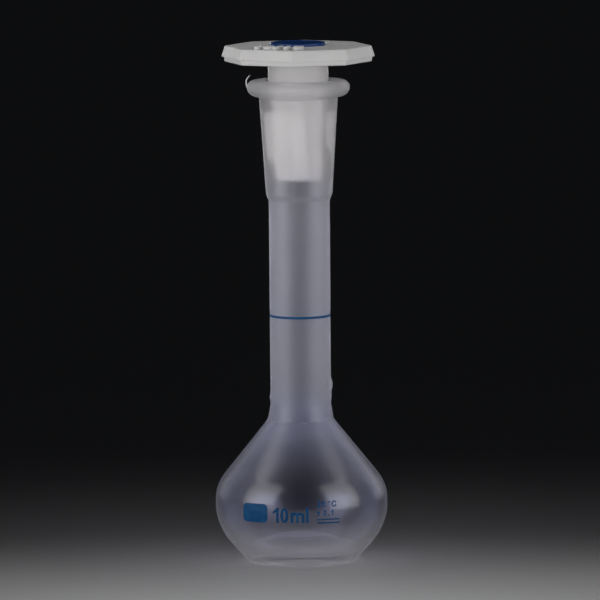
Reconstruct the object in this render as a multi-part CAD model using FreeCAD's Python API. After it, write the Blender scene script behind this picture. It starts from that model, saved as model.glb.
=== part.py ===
import FreeCAD, Part
import math
import os

from FreeCAD import Vector

# Small plastic volumetric flask with an octagonal stopper.
# Millimetres, +Z up, origin at the centre of the foot ring, on the bench.
# The front of the flask, with the print, faces -Y.

# ------------------------------------------------------------ driving sizes
# bulb, outside
BULB_R = 15.53            # greatest radius of the bulb
FOOT_R = 9.84             # where the lower flank would meet the bench
LOW_ANGLE = 42.0          # lower flank, degrees off vertical
CONE_ANGLE = 39.0         # upper flank, degrees off vertical
CONE_FROM_Z = 13.72       # height where the upper flank meets the greatest radius
BELLY_LOW_R = 11.2        # rounding between lower flank and belly
BELLY_HIGH_R = 8.5        # rounding between belly and upper flank
FOOT_EDGE_R = 0.55        # outer edge of the foot ring
WALL = 1.46               # wall of the bulb

# pushed-up base
FOOT_IN_R = 8.75          # inner edge of the foot ring
PUNT_SHOULDER = (8.30, 1.30)   # where the slope of the underside meets the foot ring
PUNT_FLAT_R = 4.0         # level middle of the underside
PUNT_TOP_Z = 3.0
FLOOR = 1.40              # thickness of the base

# neck
NECK_R = 5.40
NECK_BORE_R = 4.05
SHOULDER_R = 5.86         # where the upper flank turns into the neck
NECK_FROM_Z = 28.4        # neck is straight from here up

# socket, 10/19 taper: 10.0 mm wide at the gauge plane, 1 in 10, 19 mm long
GAUGE_R = 5.0
GAUGE_Z = 84.0
TAPER = 0.05              # loss of radius per mm
SOCKET_LEN = 19.0
SOCKET_OUT_LOW = (5.92, 66.45)
SOCKET_OUT_HIGH = (7.04, 84.15)
SOCKET_STEP_Z = 65.35     # neck ends and the socket's outside begins
LIP_Z = 87.0              # top of the flask
MOUTH_R = 5.9             # lead-in at the lip
BEAD_R = 9.2              # rolled lip, greatest radius
BEAD_LOW_ROUND = 1.9
BEAD_TOP_ROUND = 0.9

# graduation ring
MARK_Z = 44.5
MARK_W = 0.42
INK_SINK = 0.03           # ink keyed into the wall
INK_PROUD = 0.05          # ink standing on the wall

# stopper
FIT_GAP = 0.03            # between plug and socket when home
PLUG_TIP_Z = 69.0
PLUG_TIP_ROUND = 0.8
SHANK_R = 5.42
SHANK_FROM_Z = 86.0
HEAD_LOW_Z = 90.38
HEAD_RIDGE_Z = 91.42
HEAD_TOP_Z = 93.25
HEAD_LOW_R = 13.30        # octagon, centre to corner
HEAD_LEDGE_R = 13.45
HEAD_RIDGE_R = 13.85
HEAD_TOP_R = 13.25
HEAD_TURN = -95.0         # bearing of one corner, degrees from +X
HEAD_EDGE = 0.22          # rounding of the head's upper edge
COLLAR_R = 5.50           # low rim round the disc
COLLAR_TOP_Z = 93.33
SEAT_R = 5.10             # recess that takes the disc
SEAT_Z = 92.25
FIGURE_H = 2.75           # raised figures: height, stroke, spacing, rise
FIGURE_W = 0.52
FIGURE_GAP = 0.90
FIGURE_PROUD = 0.48
FIGURE_BEARING = -104.0   # the way their foot line faces, degrees from +X
FIGURE_LINE = 10.65       # their foot line, from the centre
FIGURE_SHIFT = -1.35      # their middle, along that line
HOLLOW_TOP_R = 3.9
HOLLOW_TIP_R = 3.1
HOLLOW_TIP_Z = 70.3

# blue disc
DISC_R = 5.05             # stands above the head like a button
DISC_LOW_Z = 92.30
DISC_TOP_Z = 93.85
SKIRT_OUT_R = 3.70
SKIRT_IN_R = 2.80
SKIRT_LOW_Z = 88.6


# ------------------------------------------------------------ small helpers
def corner(points):
    """Closed half-profile in the XZ plane from (r, z, rounding) corners."""
    n = len(points)
    seg = []
    for i in range(n):
        r, z, rad = points[i]
        p = Vector(r, 0, z)
        if rad <= 0:
            seg.append((p, None, p))
            continue
        a = points[i - 1]
        b = points[(i + 1) % n]
        da = Vector(a[0] - r, 0, a[1] - z).normalize()
        db = Vector(b[0] - r, 0, b[1] - z).normalize()
        half = math.acos(max(-1.0, min(1.0, da.dot(db)))) / 2.0
        length = rad / math.tan(half)
        bis = (da + db).normalize()
        mid = p + bis * (rad / math.sin(half) - rad)
        seg.append((p + da * length, mid, p + db * length))
    edges = []
    for i in range(n):
        start, mid, end = seg[i]
        if mid is not None:
            edges.append(Part.Arc(start, mid, end).toShape())
        nxt = seg[(i + 1) % n][0]
        if end.distanceToPoint(nxt) > 1e-6:
            edges.append(Part.LineSegment(end, nxt).toShape())
    return Part.Wire(edges)


def turned(points):
    """Solid of revolution about Z from a closed half-profile."""
    face = Part.Face(corner(points))
    return face.revolve(Vector(0, 0, 0), Vector(0, 0, 1), 360)


def solid_of(shape):
    s = shape.removeSplitter()
    return s.Solids[0] if len(s.Solids) == 1 else s


def meet(p, ang, q, ang2):
    """Meeting point of two lines in (r, z), each a point and an angle off vertical."""
    d1 = (math.sin(math.radians(ang)), math.cos(math.radians(ang)))
    d2 = (math.sin(math.radians(ang2)), math.cos(math.radians(ang2)))
    det = d1[0] * -d2[1] + d1[1] * d2[0]
    t = ((q[0] - p[0]) * -d2[1] + (q[1] - p[1]) * d2[0]) / det
    return (p[0] + d1[0] * t, p[1] + d1[1] * t)


# ------------------------------------------------------------ flask profile
ca, sa = math.cos(math.radians(CONE_ANGLE)), math.sin(math.radians(CONE_ANGLE))
cl, sl = math.cos(math.radians(LOW_ANGLE)), math.sin(math.radians(LOW_ANGLE))


def outer_bulb(grow):
    """Corners of the bulb's outside, from foot to belly to upper flank, moved out by grow."""
    foot = (FOOT_R + grow * cl, -grow * sl)
    cone = (BULB_R + grow * ca, CONE_FROM_Z + grow * sa)
    low = meet(foot, LOW_ANGLE, (BULB_R + grow, 0.0), 0.0)
    high = meet(cone, -CONE_ANGLE, (BULB_R + grow, 0.0), 0.0)
    return foot, low, high, cone


foot, low, high, cone = outer_bulb(0.0)
shoulder = (SHOULDER_R, cone[1] + (cone[0] - SHOULDER_R) * ca / sa)
ifoot, ilow, ihigh, icone = outer_bulb(-WALL)
inner_neck = (NECK_BORE_R, icone[1] + (icone[0] - NECK_BORE_R) * ca / sa)

# the underside of the base and, one floor thickness above it, the inside
px, pz = PUNT_SHOULDER
slope_end = (PUNT_FLAT_R, PUNT_TOP_Z)
top_ang = math.degrees(math.atan2(slope_end[0] - px, slope_end[1] - pz))
top_n = (math.cos(math.radians(top_ang)), -math.sin(math.radians(top_ang)))
itop = (px + FLOOR * top_n[0], pz + FLOOR * top_n[1])
channel = meet(ifoot, LOW_ANGLE, itop, top_ang)
islope_end = meet(itop, top_ang, (0.0, PUNT_TOP_Z + FLOOR), 90.0)

SOCKET_LOW_Z = GAUGE_Z - SOCKET_LEN
OUTSIDE = [
    (foot[0], 0.0, FOOT_EDGE_R),
    (low[0], low[1], BELLY_LOW_R),
    (high[0], high[1], BELLY_HIGH_R),
    (shoulder[0], shoulder[1], 0.5),
    (NECK_R, NECK_FROM_Z, 4.0),
    (NECK_R + 0.03, SOCKET_STEP_Z, 0.5),
    (SOCKET_OUT_LOW[0], SOCKET_OUT_LOW[1], 0.6),
    (SOCKET_OUT_HIGH[0], SOCKET_OUT_HIGH[1], 0.25),
    (BEAD_R, SOCKET_OUT_HIGH[1], BEAD_LOW_ROUND),
    (BEAD_R, LIP_Z, BEAD_TOP_ROUND),
    (MOUTH_R, LIP_Z, 0.3),
]
INSIDE = [
    (GAUGE_R, GAUGE_Z, 1.2),
    (NECK_BORE_R, SOCKET_LOW_Z, 0.0),
    (inner_neck[0], inner_neck[1], 1.6),
    (ihigh[0], ihigh[1], BELLY_HIGH_R - WALL),
    (ilow[0], ilow[1], BELLY_LOW_R - WALL),
    (channel[0], channel[1], 0.6),
    (islope_end[0], islope_end[1], 5.0),
    (0.0, PUNT_TOP_Z + FLOOR, 0.0),
]
UNDERSIDE = [
    (0.0, PUNT_TOP_Z, 0.0),
    (slope_end[0], slope_end[1], 5.0),
    (px, pz, 0.5),
    (FOOT_IN_R, 0.0, 0.35),
]

flask_body = solid_of(turned(OUTSIDE + INSIDE + UNDERSIDE))

# what the flask holds up to the graduation ring
bore_profile = [(0.0, LIP_Z, 0.0), (MOUTH_R, LIP_Z, 0.0)] + INSIDE
cavity = turned(bore_profile)
to_mark = cavity.common(Part.makeCylinder(40, MARK_Z, Vector(0, 0, 0)))
print("volume to the ring, ml: %.3f" % (to_mark.Volume / 1000.0))
print("flask plastic, cm3: %.3f" % (flask_body.Volume / 1000.0))

# ------------------------------------------------------------ ink on the wall
ring_in = NECK_R - INK_SINK
ring_out = NECK_R + INK_PROUD
graduation_ring = turned([
    (ring_in, MARK_Z - MARK_W / 2, 0.0),
    (ring_out, MARK_Z - MARK_W / 2, 0.02),
    (ring_out, MARK_Z + MARK_W / 2, 0.02),
    (ring_in, MARK_Z + MARK_W / 2, 0.0),
])


def bulb_skin(z0, z1):
    """Thin shell on the bulb's outside between two heights."""
    def body(grow):
        f, lo, hi, co = outer_bulb(grow)
        sh = (SHOULDER_R + grow, co[1] + (co[0] - SHOULDER_R - grow) * ca / sa)
        return turned([
            (0.0, f[1], 0.0), (f[0], f[1], 0.0),
            (lo[0], lo[1], BELLY_LOW_R + grow),
            (hi[0], hi[1], BELLY_HIGH_R + grow),
            (sh[0], sh[1], 0.0), (0.0, sh[1], 0.0),
        ])
    shell = body(INK_PROUD).cut(body(-INK_SINK))
    return shell.common(Part.makeBox(60, 30, z1 - z0, Vector(-30, -30, z0)))


SLAB_DEPTH = 30.0


def slab(wire):
    return Part.Face(wire).extrude(Vector(0, -SLAB_DEPTH, 0))


def poly(pts):
    v = [Vector(x, 0, z) for x, z in pts]
    return slab(Part.makePolygon(v + [v[0]]))


def bar(x0, z0, x1, z1):
    return poly([(x0, z0), (x1, z0), (x1, z1), (x0, z1)])


def oval(cx, cz, rx, rz):
    """Elliptical slab across the XZ plane."""
    if abs(rx - rz) < 1e-6:
        e = Part.Circle(Vector(cx, 0, cz), Vector(0, -1, 0), rx)
    elif rz > rx:
        e = Part.Ellipse(Vector(cx, 0, cz + rz), Vector(cx + rx, 0, cz), Vector(cx, 0, cz))
    else:
        e = Part.Ellipse(Vector(cx + rx, 0, cz), Vector(cx, 0, cz + rz), Vector(cx, 0, cz))
    return slab(Part.Wire([e.toShape()]))


def hoop(cx, cz, rx, rz, w):
    return oval(cx, cz, rx, rz).cut(oval(cx, cz, rx - w, rz - w))


# each figure stands on the line z, starts at x, is h high and has strokes w wide
def glyph(ch, x, z, h, w):
    if ch == "1":
        s = bar(x + 0.22 * h, z, x + 0.22 * h + w, z + h)
        flag = poly([(x, z + 0.72 * h), (x + 0.22 * h + 0.5 * w, z + h),
                     (x + 0.22 * h + 0.5 * w, z + h - 1.25 * w), (x, z + 0.72 * h - 0.9 * w)])
        return s.fuse(flag), 0.22 * h + w
    if ch == "0":
        return hoop(x + 0.26 * h, z + 0.5 * h, 0.26 * h, 0.5 * h, w), 0.52 * h
    if ch == "l":
        return bar(x, z, x + w, z + 1.04 * h), w
    if ch == "m":
        xh = 0.70 * h
        a = 0.185 * h
        s = bar(x, z, x + w, z + xh)
        for i in (0, 1):
            cx = x + w * 0.5 + a + i * 2 * a
            cz = z + xh - a - w * 0.5
            top = hoop(cx, cz, a + w * 0.5, a + w * 0.5, w).common(bar(cx - h, cz, cx + h, z + 2 * h))
            s = s.fuse(top).fuse(bar(cx + a - w * 0.5, z, cx + a + w * 0.5, cz))
        return s, 4 * a + w
    if ch == "2":
        r = 0.29 * h
        cx, cz = x + r, z + h - r
        arc = hoop(cx, cz, r, r, w)
        keep = poly([(cx - 2 * h, cz + 0.05 * h), (cx, cz + 0.02 * h), (cx + 0.62 * r, cz - 0.9 * r),
                     (cx + 2 * h, cz - 0.9 * r), (cx + 2 * h, cz + 2 * h), (cx - 2 * h, cz + 2 * h)])
        arc = arc.common(keep)
        q0 = (cx + 0.88 * r, cz - 0.46 * r)
        leg = poly([(x, z), (x + 1.35 * w, z), q0, (q0[0] - 1.05 * w, q0[1] + 0.55 * w)])
        return arc.fuse(leg).fuse(bar(x, z, x + 2 * r, z + w)), 2 * r
    if ch == "9":
        r = 0.29 * h
        cx, cz = x + r, z + h - r
        tail = poly([(cx + r - w, cz), (cx + r, cz), (cx + 0.30 * r + 0.55 * w, z), (cx + 0.30 * r - 0.65 * w, z)])
        return hoop(cx, cz, r, r, w).fuse(tail), 2 * r
    if ch == "/":
        return poly([(x, z), (x + 1.1 * w, z), (x + 0.36 * h, z + h), (x + 0.36 * h - 1.1 * w, z + h)]), 0.36 * h
    if ch == "C":
        c = hoop(x + 0.40 * h, z + 0.5 * h, 0.40 * h, 0.5 * h, w)
        gap = poly([(x + 0.44 * h, z + 0.5 * h), (x + 1.3 * h, z + 0.98 * h), (x + 1.3 * h, z + 0.02 * h)])
        return c.cut(gap), 0.74 * h
    if ch == "o":
        return hoop(x + 0.16 * h, z + 0.84 * h, 0.16 * h, 0.16 * h, w * 0.8), 0.32 * h
    if ch == ".":
        return bar(x, z, x + 1.15 * w, z + 1.15 * w), 1.15 * w
    if ch == "+":
        c = x + 0.27 * h
        s = bar(x, z + 0.60 * h - w / 2, x + 0.54 * h, z + 0.60 * h + w / 2)
        s = s.fuse(bar(c - w / 2, z + 0.33 * h, c + w / 2, z + 0.87 * h))
        return s.fuse(bar(x, z + 0.06 * h, x + 0.54 * h, z + 0.06 * h + w)), 0.54 * h
    return None, 0.30 * h


def line_of(text, x, z, h, w, gap):
    out = []
    for ch in text:
        s, adv = glyph(ch, x, z, h, w)
        if s is not None:
            out.append(s)
        x += adv + gap
    return out, x - gap


def printed(slabs, skin):
    solids = []
    for s in slabs:
        c = s.common(skin)
        solids += c.Solids
    return Part.makeCompound(solids) if len(solids) > 1 else solids[0]


skin = bulb_skin(5.0, 16.0)

figures, end_x = line_of("10", -5.18, 8.72, 2.72, 0.46, 0.29)
figures2, end_x2 = line_of("ml", end_x + 0.42, 8.72, 2.72, 0.45, 0.30)
capacity_figures = printed(figures + figures2, skin)

row_a, end_a = line_of("20", 2.75, 11.50, 1.12, 0.20, 0.26)
row_a2, end_a2 = line_of("oC", end_a + 0.50, 11.50, 1.12, 0.20, 0.24)
row_b, end_b = line_of("+", 2.75, 9.95, 1.08, 0.20, 0.24)
row_b2, end_b2 = line_of("0.1", end_b + 0.55, 9.95, 1.08, 0.20, 0.28)
rules = [bar(2.75, 9.15, 6.75, 9.37), bar(2.75, 8.55, 6.75, 8.77)]
reference_print = printed(row_a + row_a2 + row_b + row_b2 + rules, skin)

# printed field: a plain block with rounded corners
fx0, fx1, fz0, fz1, fr = -10.45, -6.15, 8.65, 12.00, 0.7
block = bar(fx0 + fr, fz0, fx1 - fr, fz1).fuse(bar(fx0, fz0 + fr, fx1, fz1 - fr))
for cx, cz in ((fx0 + fr, fz0 + fr), (fx1 - fr, fz0 + fr), (fx0 + fr, fz1 - fr), (fx1 - fr, fz1 - fr)):
    block = block.fuse(oval(cx, cz, fr, fr))
block = block.removeSplitter()
marking_field = printed([block], skin)
print("print ends at x %.2f, %.2f, %.2f" % (end_x2, end_a2, end_b2))

# ------------------------------------------------------------ stopper


def octagon(radius, z):
    pts = []
    for k in range(8):
        a = math.radians(HEAD_TURN + 45.0 * k)
        pts.append(Vector(radius * math.cos(a), radius * math.sin(a), z))
    return Part.makePolygon(pts + [pts[0]])


upper = Part.makeLoft([octagon(HEAD_RIDGE_R, HEAD_RIDGE_Z), octagon(HEAD_TOP_R, HEAD_TOP_Z)], True, True)
ledge = Part.makeLoft([octagon(HEAD_RIDGE_R - 0.04, HEAD_RIDGE_Z - 0.14), octagon(HEAD_RIDGE_R, HEAD_RIDGE_Z)], True, True)
lower = Part.makeLoft([octagon(HEAD_LOW_R, HEAD_LOW_Z), octagon(HEAD_LEDGE_R, HEAD_RIDGE_Z - 0.14)], True, True)
top_edges = []
for e in upper.Edges:
    zs = [v.Point.z for v in e.Vertexes]
    if min(zs) > HEAD_TOP_Z - 1e-4:
        top_edges.append(e)
upper = upper.makeFillet(HEAD_EDGE, top_edges)
head = upper.fuse(ledge).fuse(lower)


def plug_r(z):
    return GAUGE_R - FIT_GAP - (GAUGE_Z - z) * TAPER


plug = turned([
    (0.0, PLUG_TIP_Z, 0.0),
    (plug_r(PLUG_TIP_Z), PLUG_TIP_Z, PLUG_TIP_ROUND),
    (plug_r(GAUGE_Z), GAUGE_Z, 1.0),
    (SHANK_R, SHANK_FROM_Z, 0.8),
    (SHANK_R, HEAD_LOW_Z + 0.4, 0.0),
    (0.0, HEAD_LOW_Z + 0.4, 0.0),
])
collar = turned([
    (0.0, HEAD_TOP_Z - 0.3, 0.0),
    (COLLAR_R, HEAD_TOP_Z - 0.3, 0.0),
    (COLLAR_R, COLLAR_TOP_Z, 0.06),
    (0.0, COLLAR_TOP_Z, 0.0),
])
hollow = turned([
    (0.0, HOLLOW_TIP_Z, 0.0),
    (HOLLOW_TIP_R, HOLLOW_TIP_Z, 0.6),
    (HOLLOW_TOP_R, SEAT_Z, 0.0),
    (SEAT_R, SEAT_Z, 0.0),
    (SEAT_R, COLLAR_TOP_Z + 1.0, 0.0),
    (0.0, COLLAR_TOP_Z + 1.0, 0.0),
])
stopper = head.fuse(plug).fuse(collar).removeSplitter().cut(hollow)

# raised figures on the head, the size of the taper, at the front left
face_bearing = math.radians(FIGURE_BEARING)
outward = Vector(math.cos(face_bearing), math.sin(face_bearing), 0)
along = Vector(-outward.y, outward.x, 0)
SLAB_DEPTH = FIGURE_PROUD + 0.2
raised, raised_end = line_of("10/19", 0.0, 0.0, FIGURE_H, FIGURE_W, FIGURE_GAP)
print("raised figures, length %.2f" % raised_end)
base = outward * FIGURE_LINE + along * (FIGURE_SHIFT - raised_end / 2.0)
place = FreeCAD.Matrix(along.x, 0, -outward.x, base.x,
                       along.y, 0, -outward.y, base.y,
                       0, -1, 0, HEAD_TOP_Z - 0.2,
                       0, 0, 0, 1)
for s in raised:
    stopper = stopper.fuse(s.transformGeometry(place))
stopper = solid_of(stopper)

colour_disc = turned([
    (0.0, DISC_TOP_Z, 0.0),
    (0.0, DISC_LOW_Z - 0.2, 0.0),
    (SKIRT_IN_R, DISC_LOW_Z - 0.2, 0.0),
    (SKIRT_IN_R, SKIRT_LOW_Z, 0.15),
    (SKIRT_OUT_R, SKIRT_LOW_Z, 0.25),
    (SKIRT_OUT_R, DISC_LOW_Z, 0.0),
    (DISC_R, DISC_LOW_Z, 0.1),
    (DISC_R, DISC_TOP_Z, 0.18),
])

# ------------------------------------------------------------ write the pieces
os.makedirs("parts", exist_ok=True)
PIECES = {
    "flask_body": flask_body,
    "stopper": stopper,
    "colour_disc": solid_of(colour_disc),
    "graduation_ring": solid_of(graduation_ring),
    "capacity_figures": capacity_figures,
    "reference_print": reference_print,
    "marking_field": marking_field,
}
for name, shape in PIECES.items():
    bb = shape.BoundBox
    print("%-17s solids %2d valid %s vol %9.3f  x %.2f..%.2f y %.2f..%.2f z %.2f..%.2f" % (
        name, len(shape.Solids), shape.isValid(), shape.Volume,
        bb.XMin, bb.XMax, bb.YMin, bb.YMax, bb.ZMin, bb.ZMax))
    shape.exportStep("parts/%s.step" % name)
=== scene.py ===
import math
import bpy
import bmesh
from mathutils import Matrix, Vector


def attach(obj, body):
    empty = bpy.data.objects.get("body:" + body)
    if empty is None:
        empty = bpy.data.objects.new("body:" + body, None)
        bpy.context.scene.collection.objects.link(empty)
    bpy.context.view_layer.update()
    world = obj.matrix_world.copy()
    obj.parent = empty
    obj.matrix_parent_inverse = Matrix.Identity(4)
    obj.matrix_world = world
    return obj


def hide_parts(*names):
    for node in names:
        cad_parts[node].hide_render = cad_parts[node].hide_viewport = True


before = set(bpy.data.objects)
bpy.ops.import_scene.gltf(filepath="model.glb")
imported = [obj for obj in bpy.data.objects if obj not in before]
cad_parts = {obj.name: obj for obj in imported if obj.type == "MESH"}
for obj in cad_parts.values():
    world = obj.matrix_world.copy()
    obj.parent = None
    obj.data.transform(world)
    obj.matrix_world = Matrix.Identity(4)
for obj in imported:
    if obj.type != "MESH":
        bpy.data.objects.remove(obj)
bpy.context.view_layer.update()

MM = 0.001
scene = bpy.context.scene

# ------------------------------------------------------------------ sizes, mm
BULB_R, FOOT_R = 15.53, 9.84
LOW_ANGLE, CONE_ANGLE = 42.0, 39.0
CONE_FROM_Z = 13.72
BELLY_LOW_R, BELLY_HIGH_R = 11.2, 8.5
WALL, FLOOR = 1.46, 1.40
FOOT_IN_R = 8.75
PUNT_SHOULDER = (8.30, 1.30)
PUNT_FLAT_R, PUNT_TOP_Z = 4.0, 3.0
NECK_R, NECK_BORE_R = 5.40, 4.05
SHOULDER_R, NECK_FROM_Z = 5.86, 28.4
GAUGE_R, GAUGE_Z, TAPER, SOCKET_LEN = 5.0, 84.0, 0.05, 19.0
SOCKET_OUT_LOW, SOCKET_OUT_HIGH = (5.92, 66.45), (7.04, 84.15)
SOCKET_STEP_Z = 65.35
LIP_Z, MOUTH_R, BEAD_R = 87.0, 5.9, 9.2
MARK_Z = 44.5

FIT_GAP, PLUG_TIP_Z = 0.03, 69.0
SHANK_R, SHANK_FROM_Z = 5.42, 86.0
HEAD_LOW_Z, HEAD_RIDGE_Z, HEAD_TOP_Z = 90.38, 91.42, 93.25
HEAD_LOW_R, HEAD_LEDGE_R, HEAD_RIDGE_R, HEAD_TOP_R = 13.30, 13.45, 13.85, 13.25
HEAD_TURN = -95.0
COLLAR_R, COLLAR_TOP_Z = 5.50, 93.33
SEAT_R, SEAT_Z = 5.10, 92.25
FIGURE_BEARING, FIGURE_LINE, FIGURE_SHIFT = -104.0, 10.65, -1.35
HOLLOW_TOP_R, HOLLOW_TIP_R, HOLLOW_TIP_Z = 3.9, 3.1, 70.3
DISC_R, DISC_LOW_Z, DISC_TOP_Z = 5.05, 92.30, 93.85
SKIRT_OUT_R, SKIRT_IN_R, SKIRT_LOW_Z = 3.70, 2.80, 88.6


# ------------------------------------------------------------------ profiles
def path(points, step=1.2, turn=7.0):
    """Open (r, z) path from corners (r, z, rounding, tag): arcs at the corners, short
    steps along the straights. Each result is (r, z, tag), the tag running evenly."""
    n = len(points)
    knots = []
    for i, (r, z, rad, tag) in enumerate(points):
        p = Vector((r, z))
        if rad <= 0 or i in (0, n - 1):
            knots.append([(p, tag)])
            continue
        a, b = Vector(points[i - 1][:2]), Vector(points[i + 1][:2])
        da, db = (a - p).normalized(), (b - p).normalized()
        half = math.acos(max(-1.0, min(1.0, da.dot(db)))) / 2.0
        length = rad / math.tan(half)
        centre = p + (da + db).normalized() * (rad / math.sin(half))
        s, e = p + da * length - centre, p + db * length - centre
        sweep = math.pi - 2.0 * half
        sign = 1.0 if s.x * e.y - s.y * e.x > 0 else -1.0
        m = max(3, int(math.ceil(math.degrees(sweep) / turn)))
        arc = []
        for k in range(m + 1):
            ang = sign * sweep * k / m
            c, sn = math.cos(ang), math.sin(ang)
            arc.append((centre + Vector((s.x * c - s.y * sn, s.x * sn + s.y * c)), tag))
        knots.append(arc)
    out = []
    for i, arc in enumerate(knots):
        if out:
            (p0, t0), (p1, t1) = out[-1], arc[0]
            d = (p1 - p0).length
            m = max(1, int(math.ceil(d / step)))
            for k in range(1, m):
                f = k / m
                out.append((p0.lerp(p1, f), t0 + (t1 - t0) * f))
        for q in arc:
            if not out or (q[0] - out[-1][0]).length > 1e-5:
                out.append(q)
    return [(p.x, p.y, t) for p, t in out]


def spin(name, profile, angles, radius=None, inner_from=None):
    """Closed mesh turned about Z. radius(r, z, tag, angle) may reshape each point.
    The path starts and ends on the axis. Faces from row inner_from on take the second material."""
    rows = []
    verts, faces = [], []
    for r, z, tag in profile:
        if r < 1e-6:
            rows.append([len(verts)])
            verts.append((0.0, 0.0, z * MM))
            continue
        row = []
        for a in angles:
            q, dz = (r, 0.0) if radius is None else radius(r, z, tag, a)
            row.append(len(verts))
            verts.append((q * math.cos(a) * MM, q * math.sin(a) * MM, (z + dz) * MM))
        rows.append(row)
    n = len(angles)
    for lo, hi in zip(rows, rows[1:]):
        for k in range(n):
            j = (k + 1) % n
            if len(lo) == 1:
                faces.append((lo[0], hi[j], hi[k]))
            elif len(hi) == 1:
                faces.append((lo[k], lo[j], hi[0]))
            else:
                faces.append((lo[k], lo[j], hi[j], hi[k]))
    me = bpy.data.meshes.new(name)
    me.from_pydata(verts, [], faces)
    if inner_from is not None:
        me.polygons.foreach_set("material_index", [int(k // n >= inner_from) for k in range(len(faces))])
    bm = bmesh.new()
    bm.from_mesh(me)
    bmesh.ops.recalc_face_normals(bm, faces=bm.faces)
    bm.to_mesh(me)
    bm.free()
    me.polygons.foreach_set("use_smooth", [True] * len(me.polygons))
    ob = bpy.data.objects.new(name, me)
    scene.collection.objects.link(ob)
    return ob


def meet(p, ang, q, ang2):
    d1 = (math.sin(math.radians(ang)), math.cos(math.radians(ang)))
    d2 = (math.sin(math.radians(ang2)), math.cos(math.radians(ang2)))
    det = d1[0] * -d2[1] + d1[1] * d2[0]
    t = ((q[0] - p[0]) * -d2[1] + (q[1] - p[1]) * d2[0]) / det
    return (p[0] + d1[0] * t, p[1] + d1[1] * t)


def flask_corners():
    ca, sa = math.cos(math.radians(CONE_ANGLE)), math.sin(math.radians(CONE_ANGLE))
    cl, sl = math.cos(math.radians(LOW_ANGLE)), math.sin(math.radians(LOW_ANGLE))

    def bulb(grow):
        f = (FOOT_R + grow * cl, -grow * sl)
        c = (BULB_R + grow * ca, CONE_FROM_Z + grow * sa)
        return f, meet(f, LOW_ANGLE, (BULB_R + grow, 0.0), 0.0), meet(c, -CONE_ANGLE, (BULB_R + grow, 0.0), 0.0), c

    foot, low, high, cone = bulb(0.0)
    ifoot, ilow, ihigh, icone = bulb(-WALL)
    shoulder = (SHOULDER_R, cone[1] + (cone[0] - SHOULDER_R) * ca / sa)
    inner_neck = (NECK_BORE_R, icone[1] + (icone[0] - NECK_BORE_R) * ca / sa)
    px, pz = PUNT_SHOULDER
    top = math.degrees(math.atan2(PUNT_FLAT_R - px, PUNT_TOP_Z - pz))
    itop = (px + FLOOR * math.cos(math.radians(top)), pz - FLOOR * math.sin(math.radians(top)))
    channel = meet(ifoot, LOW_ANGLE, itop, top)
    islope = meet(itop, top, (0.0, PUNT_TOP_Z + FLOOR), 90.0)
    # tag 1 is the outside, 0 the rest
    return [
        (0.0, PUNT_TOP_Z, 0.0, 0.0), (PUNT_FLAT_R, PUNT_TOP_Z, 5.0, 0.0), (px, pz, 0.5, 0.0), (FOOT_IN_R, 0.0, 0.35, 0.0),
        (foot[0], 0.0, 0.55, 1.0), (low[0], low[1], BELLY_LOW_R, 1.0), (high[0], high[1], BELLY_HIGH_R, 1.0),
        (shoulder[0], shoulder[1], 0.5, 1.0), (NECK_R, NECK_FROM_Z, 4.0, 1.0), (NECK_R + 0.03, SOCKET_STEP_Z, 0.5, 1.0),
        (SOCKET_OUT_LOW[0], SOCKET_OUT_LOW[1], 0.6, 1.0), (SOCKET_OUT_HIGH[0], SOCKET_OUT_HIGH[1], 0.5, 1.0),
        (BEAD_R, SOCKET_OUT_HIGH[1], 1.6, 1.0), (BEAD_R, LIP_Z, 1.2, 1.0), (MOUTH_R, LIP_Z, 0.3, 0.0),
        (GAUGE_R, GAUGE_Z, 1.2, 0.0), (NECK_BORE_R, GAUGE_Z - SOCKET_LEN, 0.0, 0.0), (inner_neck[0], inner_neck[1], 1.6, -1.0),
        (ihigh[0], ihigh[1], BELLY_HIGH_R - WALL, -1.0), (ilow[0], ilow[1], BELLY_LOW_R - WALL, -1.0),
        (channel[0], channel[1], 0.6, 0.0), (islope[0], islope[1], 5.0, 0.0),
        (0.0, PUNT_TOP_Z + FLOOR, 0.0, 0.0),
    ]


def bump_at(x, centre, half):
    t = abs(x - centre) / half
    return 0.0 if t >= 1.0 else 0.5 + 0.5 * math.cos(math.pi * t)


def flask_radius(r, z, tag, a):
    dr = 0.0
    if tag > 0.99:
        # parting line of the two mould halves, left and right, with two moulding nubs
        right = bump_at(math.atan2(math.sin(a), math.cos(a)), 0.0, math.radians(2.0) * 5.4 / max(r, 5.4))
        left = bump_at(math.atan2(math.sin(a - math.pi), math.cos(a - math.pi)), 0.0, math.radians(2.0) * 5.4 / max(r, 5.4))
        fade = min(1.0, max(0.0, (z - 0.6) / 1.2)) * min(1.0, max(0.0, (86.6 - z) / 0.5))
        line = 0.055 * fade * (1.0 - bump_at(z, MARK_Z, 1.2))
        dr += right * (line + 0.30 * max(bump_at(z, 32.3, 0.75), bump_at(z, 31.5, 0.75)) + 0.16 * bump_at(z, 30.0, 0.9))
        dr += left * (line + 0.22 * bump_at(z, 29.4, 0.7) + 0.10 * bump_at(z, 25.6, 0.9))
        dr = min(dr, max(0.0, BULB_R - 0.01 - r))
    elif tag < -0.99 or (tag < 0.01 and NECK_BORE_R < r < 4.9 and z > 24.0):
        # the blown inside is a little uneven
        k = 0.045 if r > 6.0 else 0.02
        dr += k * (math.sin(2 * a + 0.7 + 0.11 * z) + 0.6 * math.sin(3 * a - 1.1 + 0.07 * z) + 0.5 * math.sin(5 * a + 0.4 - 0.16 * z))
        if r < 4.9:
            dr -= 2.1 * k
    return r + dr, 0.0


def flask_angles():
    deg = set()
    for k in range(144):
        deg.add(round(k * 2.5, 3))
    for base in (0.0, 180.0, 360.0):
        for d in (0.2, 0.4, 0.65, 0.95, 1.3, 1.8):
            deg.add(round((base + d) % 360.0, 3))
            deg.add(round((base - d) % 360.0, 3))
    return [math.radians(d) for d in sorted(deg)]


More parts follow.
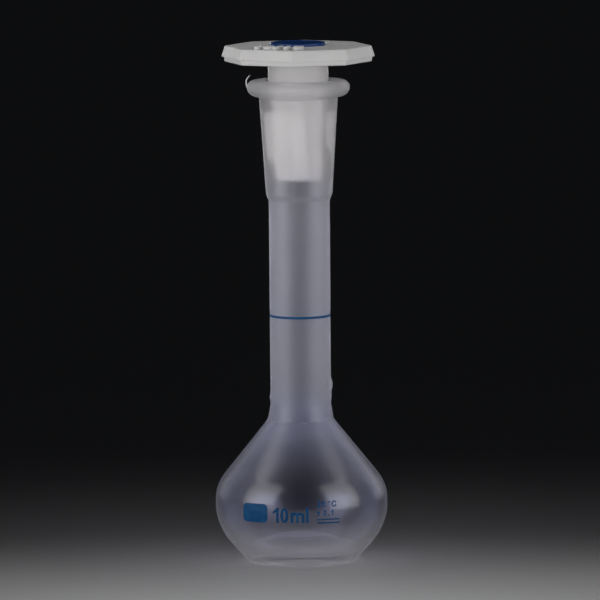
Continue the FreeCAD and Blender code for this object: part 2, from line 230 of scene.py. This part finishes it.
flask_path = path(flask_corners(), step=0.9, turn=6.0)
lip_row = max(k for k, (r, z, t) in enumerate(flask_path) if z > LIP_Z - 1e-6)
flask = spin("flask_shell", flask_path, flask_angles(), flask_radius, lip_row)

# a sliver of flash stands up from the lip on the left: (x, z, width)
sliver_path = [(-9.18, 85.70, 0.26), (-9.36, 86.40, 0.24), (-9.38, 86.95, 0.22), (-9.15, 87.42, 0.20), (-8.86, 87.76, 0.16), (-8.70, 87.98, 0.08)]
verts, faces = [], []
for k, (x, z, wide) in enumerate(sliver_path):
    x0, z0, _ = sliver_path[max(k - 1, 0)]
    x1, z1, _ = sliver_path[min(k + 1, len(sliver_path) - 1)]
    across = Vector((z0 - z1, x1 - x0)).normalized() * (wide / 2.0)
    for s, y in ((-1, -0.10), (1, -0.10), (1, 0.10), (-1, 0.10)):
        verts.append(((x + s * across.x) * MM, y * MM, (z + s * across.y) * MM))
    if k:
        faces += [(4 * k - 4 + j, 4 * k - 4 + (j + 1) % 4, 4 * k + (j + 1) % 4, 4 * k + j) for j in range(4)]
faces += [(3, 2, 1, 0), tuple(len(verts) - 4 + j for j in range(4))]
me = bpy.data.meshes.new("lip_sliver")
me.from_pydata(verts, [], faces)
bm = bmesh.new()
bm.from_mesh(me)
bmesh.ops.recalc_face_normals(bm, faces=bm.faces)
bm.to_mesh(me)
bm.free()
sliver = bpy.data.objects.new("lip_sliver", me)
scene.collection.objects.link(sliver)


# ------------------------------------------------------------------ stopper
def octagon(circum, a, rnd):
    """Distance from the axis to a rounded octagon's side in direction a."""
    ap = circum * math.cos(math.pi / 8)
    rel = (a - math.radians(HEAD_TURN)) % (math.pi / 4)
    d = min(rel, math.pi / 4 - rel)
    c = (ap - rnd) / math.cos(math.pi / 8)
    # where the rounded corner begins, as an angle from the corner
    tx, ty = c - rnd * -math.cos(math.pi / 8), rnd * math.sin(math.pi / 8)
    lim = math.atan2(ty, tx)
    if d < lim:
        return c * math.cos(d) + math.sqrt(max(0.0, rnd * rnd - (c * math.sin(d)) ** 2))
    return ap / math.cos(math.pi / 8 - d)


def stopper_radius(r, z, tag, a):
    if tag <= 0.0:
        return r, 0.0
    o = octagon(r, a, 0.45) if r > 6.0 else r
    dz = 0.0
    if z > HEAD_TOP_Z - 0.02 and r < 12.9:
        dz = -0.035 * (1.0 + math.cos(4.0 * (a + 0.3))) * bump_at(r, 9.0, 3.6)
    return r + (o - r) * min(1.0, tag), dz


def plug_r(z):
    return GAUGE_R - FIT_GAP - (GAUGE_Z - z) * TAPER


stopper_path = path([
    (0.0, PLUG_TIP_Z, 0.0, 0.0), (plug_r(PLUG_TIP_Z), PLUG_TIP_Z, 0.8, 0.0), (plug_r(GAUGE_Z), GAUGE_Z, 1.0, 0.0),
    (SHANK_R, SHANK_FROM_Z, 0.8, 0.0), (SHANK_R, HEAD_LOW_Z, 0.35, 0.0),
    (HEAD_LOW_R, HEAD_LOW_Z, 0.22, 1.0), (HEAD_LEDGE_R, HEAD_RIDGE_Z - 0.14, 0.06, 1.0),
    (HEAD_RIDGE_R - 0.04, HEAD_RIDGE_Z - 0.14, 0.05, 1.0), (HEAD_RIDGE_R, HEAD_RIDGE_Z, 0.05, 1.0),
    (HEAD_TOP_R, HEAD_TOP_Z, 0.26, 1.0), (COLLAR_R, HEAD_TOP_Z, 0.03, 0.0), (COLLAR_R, COLLAR_TOP_Z, 0.05, 0.0),
    (SEAT_R, COLLAR_TOP_Z, 0.05, 0.0), (SEAT_R, SEAT_Z, 0.0, 0.0), (HOLLOW_TOP_R, SEAT_Z, 0.12, 0.0),
    (HOLLOW_TIP_R, HOLLOW_TIP_Z, 0.6, 0.0), (0.0, HOLLOW_TIP_Z, 0.0, 0.0)], step=0.8, turn=12.0)
side = [-1.6, -1.1, -0.7, -0.35, 0.0, 0.35, 0.7, 1.1, 1.6, 4.2, 7.4, 11.0, 14.8, 18.6, 22.5, 26.4, 30.2, 34.0, 37.6, 40.8]
stopper_angles = sorted(math.radians((HEAD_TURN + 45.0 * k + d) % 360.0) for k in range(8) for d in side)
stopper = spin("stopper_moulding", stopper_path, stopper_angles, stopper_radius)

# raised figures on the head: the size of the taper
bearing = math.radians(FIGURE_BEARING)
outward = Vector((math.cos(bearing), math.sin(bearing), 0.0))
along = Vector((-outward.y, outward.x, 0.0))
cu = bpy.data.curves.new("head_figures", "FONT")
cu.body = "10/19"
cu.align_x = "CENTER"
cu.size = 3.75 * MM
cu.space_character = 1.10
cu.extrude = 0.26 * MM
cu.bevel_depth = 0.08 * MM
cu.bevel_resolution = 2
cu.offset = 0.07 * MM
tmp = bpy.data.objects.new("head_figures_tmp", cu)
scene.collection.objects.link(tmp)
bpy.context.view_layer.update()
me = bpy.data.meshes.new_from_object(tmp.evaluated_get(bpy.context.evaluated_depsgraph_get()))
me.name = "head_figures"
bpy.data.objects.remove(tmp)
base = (outward * FIGURE_LINE + along * FIGURE_SHIFT + Vector((0, 0, HEAD_TOP_Z + 0.24))) * MM
me.transform(Matrix(((along.x, -outward.x, 0, base.x), (along.y, -outward.y, 0, base.y), (0, 0, 1, base.z), (0, 0, 0, 1))))
bm = bmesh.new()
bm.from_mesh(me)
bmesh.ops.remove_doubles(bm, verts=bm.verts, dist=1e-7)
bmesh.ops.recalc_face_normals(bm, faces=bm.faces)
bm.to_mesh(me)
bm.free()
figures = bpy.data.objects.new("head_figures", me)
scene.collection.objects.link(figures)

# ------------------------------------------------------------------ blue disc
disc_path = path([
    (0.0, DISC_LOW_Z - 0.2, 0.0, 0.0), (SKIRT_IN_R, DISC_LOW_Z - 0.2, 0.3, 0.0), (SKIRT_IN_R, SKIRT_LOW_Z, 0.15, 0.0),
    (SKIRT_OUT_R, SKIRT_LOW_Z, 0.25, 0.0), (SKIRT_OUT_R, DISC_LOW_Z, 0.05, 0.0), (DISC_R, DISC_LOW_Z, 0.1, 0.0),
    (DISC_R, DISC_TOP_Z, 0.16, 0.0), (4.62, DISC_TOP_Z, 0.05, 0.0), (4.56, DISC_TOP_Z - 0.05, 0.05, 0.0),
    (0.0, DISC_TOP_Z - 0.07, 0.0, 0.0)], step=0.7, turn=12.0)
disc = spin("colour_disc_face", disc_path, [math.radians(3.0 * k) for k in range(120)])


# ------------------------------------------------------------------ materials
def new_mat(name):
    m = bpy.data.materials.new(name)
    m.use_nodes = True
    nt = m.node_tree
    bsdf = nt.nodes["Principled BSDF"]
    return m, nt, bsdf


def node(nt, kind, **props):
    n = nt.nodes.new(kind)
    for k, v in props.items():
        if k == "inputs":
            for key, val in v.items():
                n.inputs[key].default_value = val
        else:
            setattr(n, k, v)
    return n


def ramp(nt, fac, stops):
    r = nt.nodes.new("ShaderNodeValToRGB")
    el = r.color_ramp.elements
    while len(el) < len(stops):
        el.new(0.5)
    for e, (pos, col) in zip(el, stops):
        e.position = pos
        e.color = col if len(col) == 4 else (*col, 1.0)
    nt.links.new(fac, r.inputs["Fac"])
    return r.outputs["Color"]


def coords(nt, scale):
    tc = nt.nodes.new("ShaderNodeTexCoord")
    mp = nt.nodes.new("ShaderNodeMapping")
    mp.inputs["Scale"].default_value = scale
    nt.links.new(tc.outputs["Object"], mp.inputs["Vector"])
    return mp.outputs["Vector"]


def noise(nt, vec, scale, detail=3.0, rough=0.5):
    n = node(nt, "ShaderNodeTexNoise", inputs={"Scale": scale, "Detail": detail, "Roughness": rough})
    nt.links.new(vec, n.inputs["Vector"])
    return n.outputs["Fac"]


def grey(v):
    return (v, v, v)


def by_height(nt, stops):
    """Ramp over the height in the object's own frame: 0 at the bench, 1 at 100 mm."""
    tc = nt.nodes.new("ShaderNodeTexCoord")
    sep = nt.nodes.new("ShaderNodeSeparateXYZ")
    nt.links.new(tc.outputs["Object"], sep.inputs["Vector"])
    height = node(nt, "ShaderNodeMapRange", inputs={"From Min": 0.0, "From Max": 0.1, "To Min": 0.0, "To Max": 1.0})
    nt.links.new(sep.outputs["Z"], height.inputs["Value"])
    return ramp(nt, height.outputs["Result"], stops)


def by_radius(nt, stops):
    """Ramp over the distance from the axis: 0 on it, 1 at 20 mm."""
    far = node(nt, "ShaderNodeVectorMath", operation="LENGTH")
    nt.links.new(coords(nt, (50.0, 50.0, 0.0)), far.inputs[0])
    return ramp(nt, far.outputs["Value"], stops)


def times(nt, a, b):
    m = node(nt, "ShaderNodeMix", data_type="RGBA", blend_type="MULTIPLY")
    m.inputs["Factor"].default_value = 1.0
    nt.links.new(a, m.inputs[6])
    nt.links.new(b, m.inputs[7])
    return m.outputs[2]


def towards(nt, a, b, fac):
    """From a to b, a colour or another socket."""
    m = node(nt, "ShaderNodeMix", data_type="RGBA", blend_type="MIX")
    nt.links.new(fac, m.inputs["Factor"])
    nt.links.new(a, m.inputs[6])
    if isinstance(b, tuple):
        m.inputs[7].default_value = (*b, 1.0)
    else:
        nt.links.new(b, m.inputs[7])
    return m.outputs[2]


def lamps_through(nt, b, shade):
    """Translucent plastic shades what is behind it only in part, the thin belly least."""
    lp = nt.nodes.new("ShaderNodeLightPath")
    mr = node(nt, "ShaderNodeMapRange", inputs={"From Min": 0.0, "From Max": 1.0, "To Min": 1.0})
    nt.links.new(by_height(nt, [(0.24, grey(shade * 0.3)), (0.32, grey(shade))]), mr.inputs["To Max"])
    nt.links.new(lp.outputs["Is Shadow Ray"], mr.inputs["Value"])
    nt.links.new(mr.outputs["Result"], b.inputs["Alpha"])


# milky translucent plastic of the flask
flask_mat, nt, b = new_mat("milky_plastic")
v = coords(nt, (1.0, 1.0, 1.0))
streak = coords(nt, (1.0, 1.0, 0.12))
cloud = ramp(nt, noise(nt, v, 130.0, 4.0, 0.55), [(0.30, grey(0.93)), (0.70, grey(1.0))])
colour_by_height = by_height(nt, [
    (0.00, (0.95, 0.93, 0.96)), (0.04, (0.93, 0.92, 0.97)), (0.09, (0.77, 0.78, 0.99)), (0.25, (0.77, 0.78, 0.99)),
    (0.32, (0.87, 0.87, 0.98)), (0.67, (0.88, 0.88, 0.98)), (0.72, (0.96, 0.945, 0.965)), (0.90, (0.96, 0.945, 0.96))])
nt.links.new(times(nt, colour_by_height, cloud), b.inputs["Base Color"])
satin = ramp(nt, noise(nt, streak, 420.0, 3.0, 0.6), [(0.30, grey(0.345)), (0.72, grey(0.415))])
satin = times(nt, satin, by_height(nt, [(0.15, grey(0.22)), (0.20, grey(0.48)), (0.25, grey(0.62)), (0.30, grey(1.40)), (0.63, grey(1.40)), (0.67, grey(0.86))]))
lw = node(nt, "ShaderNodeLayerWeight", inputs={"Blend": 0.5})
# the flanks of the belly are seen at a slant and show less of the wall behind
slant = towards(nt, ramp(nt, lw.outputs["Facing"], [(0.30, grey(1.0)), (0.50, grey(2.5))]), grey(1.0), by_height(nt, [(0.125, grey(0.0)), (0.155, grey(1.0))]))
nt.links.new(times(nt, satin, slant), b.inputs["Roughness"])
b.inputs["IOR"].default_value = 1.49
# thick plastic is milkier than the thin blown belly, and so is the longer way through the wall near the outline
clear = by_height(nt, [
    (0.000, grey(0.93)), (0.014, grey(0.96)), (0.030, grey(0.985)), (0.050, grey(0.992)), (0.080, grey(0.996)), (0.160, grey(0.996)), (0.180, grey(0.990)),
    (0.205, grey(0.960)), (0.240, grey(0.880)), (0.275, grey(0.880)), (0.310, grey(0.930)), (0.450, grey(0.940)), (0.560, grey(0.953)), (0.640, grey(0.945)), (0.670, grey(0.932)), (0.710, grey(0.945)), (0.835, grey(0.953)), (0.855, grey(0.83))])
edge = ramp(nt, lw.outputs["Facing"], [(0.0, grey(1.0)), (0.03, grey(0.980)), (0.13, grey(0.900)), (0.40, grey(0.870)), (0.68, grey(0.83)), (0.80, grey(0.60)), (0.90, grey(0.25)), (1.0, grey(0.05))])
belly = ramp(nt, lw.outputs["Facing"], [(0.12, grey(1.0)), (0.19, grey(0.968)), (0.25, grey(0.940)), (0.34, grey(0.888)), (0.56, grey(0.865)), (0.72, grey(0.80)), (0.82, grey(0.55)), (0.92, grey(0.20)), (1.0, grey(0.05))])
edge = towards(nt, edge, belly, by_height(nt, [(0.030, grey(0.0)), (0.045, grey(1.0)), (0.250, grey(1.0)), (0.285, grey(0.0))]))
flank = ramp(nt, lw.outputs["Facing"], [(0.27, grey(1.0)), (0.34, grey(0.940)), (0.45, grey(0.905)), (0.60, grey(0.875)), (0.70, grey(0.80)), (0.82, grey(0.50)), (0.92, grey(0.20)), (1.0, grey(0.05))])
edge = towards(nt, edge, flank, by_height(nt, [(0.030, grey(0.0)), (0.045, grey(1.0)), (0.105, grey(1.0)), (0.155, grey(0.0))]))
under = times(nt, by_height(nt, [(0.032, grey(1.0)), (0.036, grey(0.0))]), by_radius(nt, [(0.432, grey(1.0)), (0.448, grey(0.0))]))
nt.links.new(towards(nt, times(nt, clear, edge), grey(0.63), under), b.inputs["Transmission Weight"])
# the belly is glossier than the satin neck
nt.links.new(by_height(nt, [(0.030, grey(0.4)), (0.070, grey(1.0)), (0.180, grey(1.0)), (0.260, grey(0.35)), (0.320, grey(0.0))]), b.inputs["Coat Weight"])
b.inputs["Coat Roughness"].default_value = 0.27
b.inputs["Coat IOR"].default_value = 1.50
b.inputs["Sheen Weight"].default_value = 0.20
b.inputs["Sheen Roughness"].default_value = 0.40
b.inputs["Sheen Tint"].default_value = (0.82, 0.82, 1.0, 1.0)
bm1 = node(nt, "ShaderNodeBump", inputs={"Strength": 0.05, "Distance": 0.00004})
nt.links.new(noise(nt, streak, 650.0, 4.0, 0.6), bm1.inputs["Height"])
nt.links.new(bm1.outputs["Normal"], b.inputs["Normal"])
lamps_through(nt, b, 0.42)

# the same plastic inside, as smooth as it was blown
inner_mat, nt, b = new_mat("milky_plastic_inside")
v = coords(nt, (1.0, 1.0, 1.0))
cloud = ramp(nt, noise(nt, v, 130.0, 4.0, 0.55), [(0.30, grey(0.95)), (0.70, grey(1.0))])
colour_by_height = by_height(nt, [(0.00, (0.97, 0.95, 0.97)), (0.045, (0.97, 0.95, 0.97)), (0.07, (0.90, 0.90, 0.97)), (0.62, (0.93, 0.93, 0.97)), (0.70, (0.97, 0.96, 0.97))])
nt.links.new(times(nt, colour_by_height, cloud), b.inputs["Base Color"])
nt.links.new(ramp(nt, noise(nt, v, 300.0, 3.0, 0.6), [(0.30, grey(0.05)), (0.72, grey(0.09))]), b.inputs["Roughness"])
b.inputs["IOR"].default_value = 1.49
# the pushed-up base is thick and milky, the blown wall is not
base = times(nt, by_height(nt, [(0.047, grey(1.0)), (0.052, grey(0.0))]), by_radius(nt, [(0.475, grey(1.0)), (0.505, grey(0.0))]))
clear = by_height(nt, [(0.065, grey(0.995)), (0.180, grey(0.995)), (0.240, grey(0.975)), (0.320, grey(0.97)), (0.640, grey(0.97)), (0.700, grey(0.975))])
nt.links.new(towards(nt, clear, grey(0.58), base), b.inputs["Transmission Weight"])
bm1 = node(nt, "ShaderNodeBump", inputs={"Strength": 0.06, "Distance": 0.00008})
nt.links.new(noise(nt, v, 240.0, 3.0, 0.5), bm1.inputs["Height"])
nt.links.new(bm1.outputs["Normal"], b.inputs["Normal"])
lamps_through(nt, b, 0.05)

# the thin flash on the lip scatters more than it lets through
sliver_mat, nt, b = new_mat("milky_flash")
v = coords(nt, (1.0, 1.0, 1.0))
nt.links.new(ramp(nt, noise(nt, v, 900.0, 3.0, 0.5), [(0.3, (0.86, 0.85, 0.88)), (0.7, (0.95, 0.94, 0.96))]), b.inputs["Base Color"])
nt.links.new(ramp(nt, noise(nt, v, 1500.0, 3.0, 0.5), [(0.3, grey(0.35)), (0.7, grey(0.50))]), b.inputs["Roughness"])
b.inputs["IOR"].default_value = 1.49
b.inputs["Transmission Weight"].default_value = 0.15

# white plastic of the stopper, with painted light and painted shade in its colour by height
stopper_mat, nt, b = new_mat("white_plastic")
v = coords(nt, (1.0, 1.0, 1.0))
cloud = ramp(nt, noise(nt, v, 160.0, 4.0, 0.55), [(0.30, grey(0.92)), (0.72, grey(1.0))])
# the plug down in the socket is painted lighter, as painted light for the light reaching it through the flask wall; the
# shank under the head is painted darker, as painted shade of the head's overhang; the head keeps its white
colour_by_height = by_height(nt, [(0.84, (0.985, 0.955, 0.962)), (0.866, (0.80, 0.782, 0.788)), (0.901, (0.80, 0.782, 0.788)), (0.906, (0.95, 0.938, 0.932))])
nt.links.new(times(nt, colour_by_height, cloud), b.inputs["Base Color"])
nt.links.new(ramp(nt, noise(nt, v, 900.0, 4.0, 0.6), [(0.30, grey(0.40)), (0.72, grey(0.55))]), b.inputs["Roughness"])
b.inputs["IOR"].default_value = 1.49
b.inputs["Subsurface Weight"].default_value = 0.35
b.inputs["Subsurface Radius"].default_value = (1.0, 0.95, 0.92)
b.inputs["Subsurface Scale"].default_value = 0.0012
bm1 = node(nt, "ShaderNodeBump", inputs={"Strength": 0.16, "Distance": 0.00010})
nt.links.new(noise(nt, v, 1500.0, 4.0, 0.6), bm1.inputs["Height"])
nt.links.new(bm1.outputs["Normal"], b.inputs["Normal"])

# blue plastic of the disc
disc_mat, nt, b = new_mat("blue_plastic")
v = coords(nt, (1.0, 1.0, 1.0))
nt.links.new(ramp(nt, noise(nt, v, 300.0, 3.0, 0.5), [(0.3, (0.004, 0.045, 0.220)), (0.7, (0.006, 0.062, 0.270))]), b.inputs["Base Color"])
nt.links.new(ramp(nt, noise(nt, v, 1400.0, 4.0, 0.6), [(0.3, grey(0.20)), (0.7, grey(0.28))]), b.inputs["Roughness"])
b.inputs["IOR"].default_value = 1.49
bm1 = node(nt, "ShaderNodeBump", inputs={"Strength": 0.12, "Distance": 0.00008})
nt.links.new(noise(nt, v, 1800.0, 4.0, 0.6), bm1.inputs["Height"])
nt.links.new(bm1.outputs["Normal"], b.inputs["Normal"])

# printed ink
ink_mat, nt, b = new_mat("blue_ink")
v = coords(nt, (1.0, 1.0, 1.0))
nt.links.new(ramp(nt, noise(nt, v, 700.0, 5.0, 0.65), [(0.28, (0.020, 0.170, 0.400)), (0.5, (0.006, 0.115, 0.330)), (0.8, (0.004, 0.080, 0.250))]), b.inputs["Base Color"])
nt.links.new(ramp(nt, noise(nt, v, 1600.0, 3.0, 0.5), [(0.3, grey(0.38)), (0.7, grey(0.56))]), b.inputs["Roughness"])
b.inputs["Specular IOR Level"].default_value = 0.25
bm1 = node(nt, "ShaderNodeBump", inputs={"Strength": 0.2, "Distance": 0.00004})
nt.links.new(noise(nt, v, 2600.0, 3.0, 0.5), bm1.inputs["Height"])
nt.links.new(bm1.outputs["Normal"], b.inputs["Normal"])


def paint(ob, mat):
    ob.data.materials.clear()
    ob.data.materials.append(mat)


paint(flask, flask_mat)
flask.data.materials.append(inner_mat)
paint(sliver, sliver_mat)
paint(stopper, stopper_mat)
paint(figures, stopper_mat)
paint(disc, disc_mat)
for name in ("graduation_ring", "capacity_figures", "reference_print", "marking_field"):
    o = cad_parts[name]
    if not o.material_slots:
        o.data.materials.append(ink_mat)
    for s in o.material_slots:
        s.material = ink_mat

# ------------------------------------------------------------------ on their bodies
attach(flask, "flask")
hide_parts("flask_body")
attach(sliver, "flask")
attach(stopper, "stopper")
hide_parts("stopper")
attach(figures, "stopper")
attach(disc, "colour_disc")
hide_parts("colour_disc")

# ------------------------------------------------------------------ floor, light, camera
fm = bpy.data.meshes.new("floor")
fm.from_pydata([(-4, -4, 0), (4, -4, 0), (4, 4, 0), (-4, 4, 0)], [], [(0, 1, 2, 3)])
floor = bpy.data.objects.new("floor", fm)
scene.collection.objects.link(floor)
floor.location.z = -0.00002
floor_mat, nt, b = new_mat("pale_floor")
v = coords(nt, (1.0, 1.0, 1.0))
nt.links.new(ramp(nt, noise(nt, v, 6.0, 3.0, 0.5), [(0.3, (0.86, 0.86, 0.87)), (0.7, (0.90, 0.90, 0.91))]), b.inputs["Base Color"])
b.inputs["Roughness"].default_value = 0.55
floor.data.materials.append(floor_mat)


def area(name, loc, aim, size, power, spread=180.0, colour=(1, 1, 1)):
    d = bpy.data.lights.new(name, "AREA")
    d.shape = "RECTANGLE"
    d.size, d.size_y = size
    d.energy = power
    d.spread = math.radians(spread)
    d.color = colour
    d.cycles.max_bounces = 5
    o = bpy.data.objects.new(name, d)
    o.location = loc
    o.rotation_euler = (Vector(aim) - Vector(loc)).to_track_quat("-Z", "Y").to_euler()
    scene.collection.objects.link(o)
    return o


# soft boxes round the object, flagged off the floor, two for the far side of the stopper and two above for the floor
boxes = [
    area("box_left", (-0.035, -0.150, 0.090), (0, 0, 0.090), (0.060, 0.050), 0.0018, 34.0),
    area("box_right", (0.050, -0.146, 0.090), (0, 0, 0.090), (0.060, 0.050), 0.0007, 34.0),
    area("low_box_left", (-0.1115, -0.0668, 0.080), (0, 0, 0.045), (0.118, 0.160), 0.0295, 110.0),
    area("low_box_right", (0.1115, -0.0668, 0.080), (0, 0, 0.045), (0.118, 0.160), 0.0275, 110.0),
    area("side_box_left", (-0.120, -0.030, 0.058), (0, 0, 0.058), (0.040, 0.050), 0.0005, 32.0),
    area("side_box_right", (0.120, -0.030, 0.058), (0, 0, 0.058), (0.040, 0.050), 0.0004, 32.0),
    area("back_box_left", (-0.115, 0.105, 0.080), (0, 0, 0.045), (0.100, 0.150), 0.0022, 110.0),
    area("back_box_right", (0.115, 0.105, 0.080), (0, 0, 0.045), (0.100, 0.150), 0.0042, 110.0),
    area("top_box_left", (-0.074, 0.010, 0.172), (0, 0, 0.030), (0.085, 0.120), 0.0082, 110.0),
    area("top_box_right", (0.074, 0.010, 0.172), (0, 0, 0.030), (0.085, 0.120), 0.0050, 110.0),
]
flagged = bpy.data.collections.new("flagged_off")
flagged.objects.link(floor)
flagged.collection_objects[0].light_linking.link_state = "EXCLUDE"
for o in boxes:
    o.light_linking.receiver_collection = flagged
floor_only = bpy.data.collections.new("floor_only")
floor_only.objects.link(floor)
stopper_only = bpy.data.collections.new("stopper_only")
for o in (stopper, figures, disc):
    stopper_only.objects.link(o)
for side in (-1.0, 1.0):
    area("far_box_%d" % side, (side * 0.045, 0.148, 0.096), (0, 0, 0.091), (0.060, 0.050), 0.0014, 34.0).light_linking.receiver_collection = stopper_only
area("box_round", (0.0, -0.02, 0.50), (0, -0.035, 0.0), (0.12, 0.12), 0.0042, 31.0).light_linking.receiver_collection = floor_only
area("box_floor", (0.0, -0.055, 0.32), (0, -0.10, 0.0), (0.20, 0.05), 0.0310, 43.0).light_linking.receiver_collection = floor_only

world = bpy.data.worlds.new("studio")
world.use_nodes = True
world.node_tree.nodes["Background"].inputs["Color"].default_value = (0.75, 0.78, 0.85, 1.0)
world.node_tree.nodes["Background"].inputs["Strength"].default_value = 0.006
scene.world = world

scene.view_settings.view_transform = "Standard"
scene.view_settings.look = "None"
scene.view_settings.exposure = 0.0

cam_data = bpy.data.cameras.new("camera")
cam = bpy.data.objects.new("camera", cam_data)
scene.collection.objects.link(cam)
cam_data.sensor_width = 36.0
cam_data.lens = 7655.0 / 600.0 * 36.0
cam_data.clip_start, cam_data.clip_end = 0.05, 20.0
eye = Vector((0.0, -1.373, 0.199))
look = Vector((0.0, 0.0, 0.0472))
q = (look - eye).to_track_quat("-Z", "Y")
cam.matrix_world = Matrix.Translation(eye) @ q.to_matrix().to_4x4() @ Matrix.Rotation(math.radians(-0.46), 4, "Z")
scene.camera = cam
